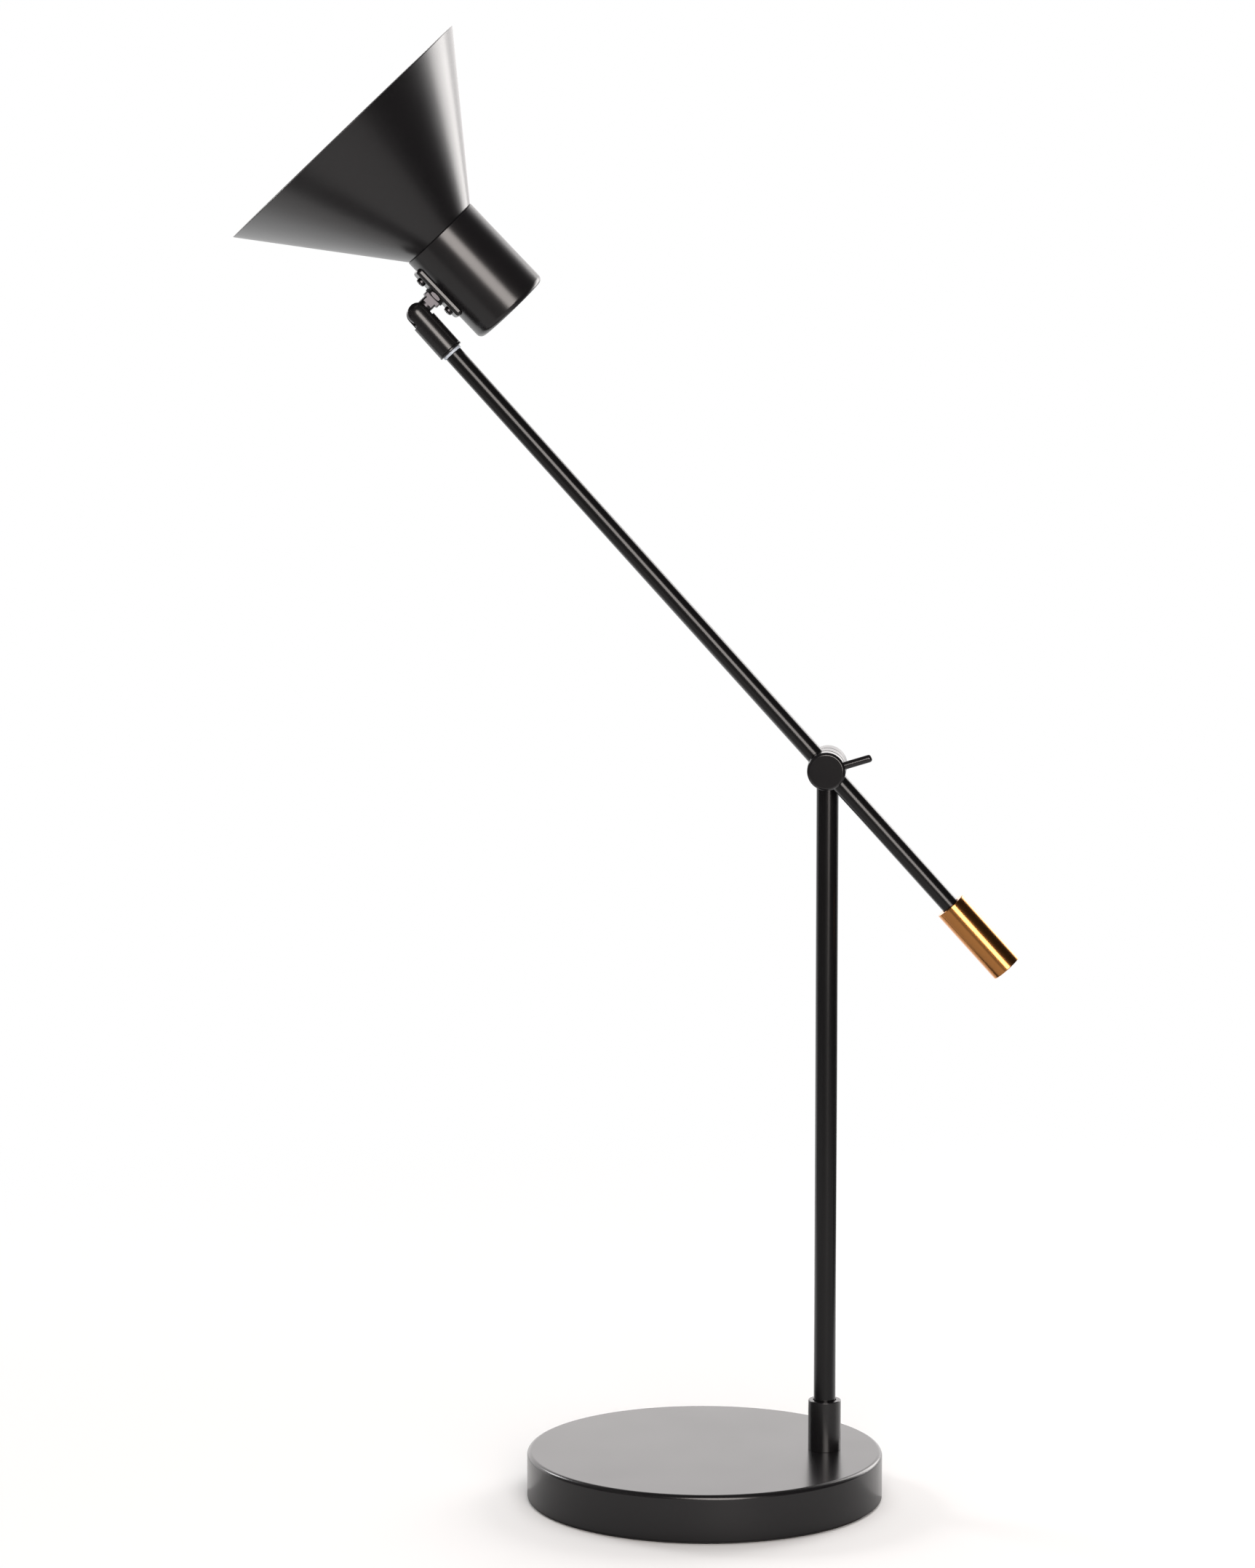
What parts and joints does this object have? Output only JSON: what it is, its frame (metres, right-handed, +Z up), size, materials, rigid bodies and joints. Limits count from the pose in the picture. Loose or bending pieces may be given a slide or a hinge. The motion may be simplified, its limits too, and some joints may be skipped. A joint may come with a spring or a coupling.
{
  "type": "desk lamp",
  "caption": "Black desk lamp: round weighted base, off-centre post, counterweighted arm on a lever clamp, slotted ball knuckle and wide cone shade on a cup.",
  "frame": {"origin": "centre of the foot pad's underside, on the desk", "axes": "+Z up; the arm tilts in a plane square to Y; the clamp's knob faces -Y, the lead leaves towards +Y"},
  "size_m": [0.4253, 0.1976, 0.806],
  "materials": {
    "black_cover": "satin black powder coat",
    "black_turned": "satin black powder coat",
    "black_shade": "satin black powder coat, shade white inside",
    "iron": "as cast",
    "zinc_steel": "zinc plated",
    "dark_nickel": "dark nickel",
    "rubber": "matt",
    "nylon": "natural",
    "acetal": "black",
    "fibre": "matt black fibre",
    "brass": "satin",
    "bakelite": "moulded black"
  },
  "bodies": {
    "base": {"base_cover": "black_cover", "base_ballast": "iron", "base_plate": "zinc_steel", "base_plate_screws": "zinc_steel", "foot_pad": "rubber", "cord_inlet_bush": "rubber", "post_collar": "black_turned", "collar_bush": "nylon", "collar_spigot": "zinc_steel", "post_thrust_washer": "nylon", "collar_washer": "zinc_steel", "collar_nut": "zinc_steel", "collar_grub_screw": "zinc_steel"},
    "post": {"post_tube": "black_turned", "post_head": "black_turned", "pivot_screw": "zinc_steel", "pivot_cap": "black_turned", "rear_friction_washer": "fibre"},
    "clamp": {"clamp_knob": "black_turned", "knob_insert": "brass", "front_friction_washer": "fibre", "clamp_lever": "black_turned"},
    "arm": {"arm_barrel": "black_turned", "arm_tube": "black_turned", "counter_rod": "black_turned", "counterweight": "brass", "swivel_spindle": "zinc_steel", "nylon_washer": "nylon", "swivel_nut": "zinc_steel"},
    "knuckle": {"knuckle_body": "black_turned", "knuckle_plug": "black_turned", "ball_seat": "acetal", "seat_springs": "zinc_steel"},
    "head": {"ball_stud": "dark_nickel", "stud_nut": "dark_nickel", "stud_inner_nut": "zinc_steel", "stud_inner_washer": "zinc_steel", "head_bracket": "dark_nickel", "bracket_screws": "dark_nickel", "lamp_cup": "black_shade", "shade": "black_shade", "shade_ring": "bakelite", "holder_body": "bakelite", "thread_shell": "brass", "centre_contact": "brass", "holder_spacers": "bakelite", "holder_screws": "zinc_steel"}
  },
  "joints": [
    {"name": "post_swivel", "type": "hinge", "parent": "base", "child": "post", "pos_m": [0.066, 0.00519, 0.027], "axis": [0, 0, 1], "range_deg": [-170, 170]},
    {"name": "clamp_turn", "type": "hinge", "parent": "post", "child": "clamp", "pos_m": [0.066, -0.01451, 0.4076], "axis": [0, -1, 0], "range_deg": [0, 150]},
    {"name": "arm_tilt", "type": "hinge", "parent": "post", "child": "arm", "pos_m": [0.066, -0.00791, 0.4076], "axis": [0, 1, 0], "range_deg": [-70, 30]},
    {"name": "head_swivel", "type": "hinge", "parent": "arm", "child": "knuckle", "pos_m": [-0.1371, -0.00791, 0.63198], "axis": [-0.6711, 0, 0.7414], "range_deg": [-170, 170]},
    {"name": "head_tilt", "type": "hinge", "parent": "knuckle", "child": "head", "pos_m": [-0.15546, -0.00791, 0.65226], "axis": [0.1919, -0.9659, 0.1737], "range_deg": [-2, 140]}
  ]
}
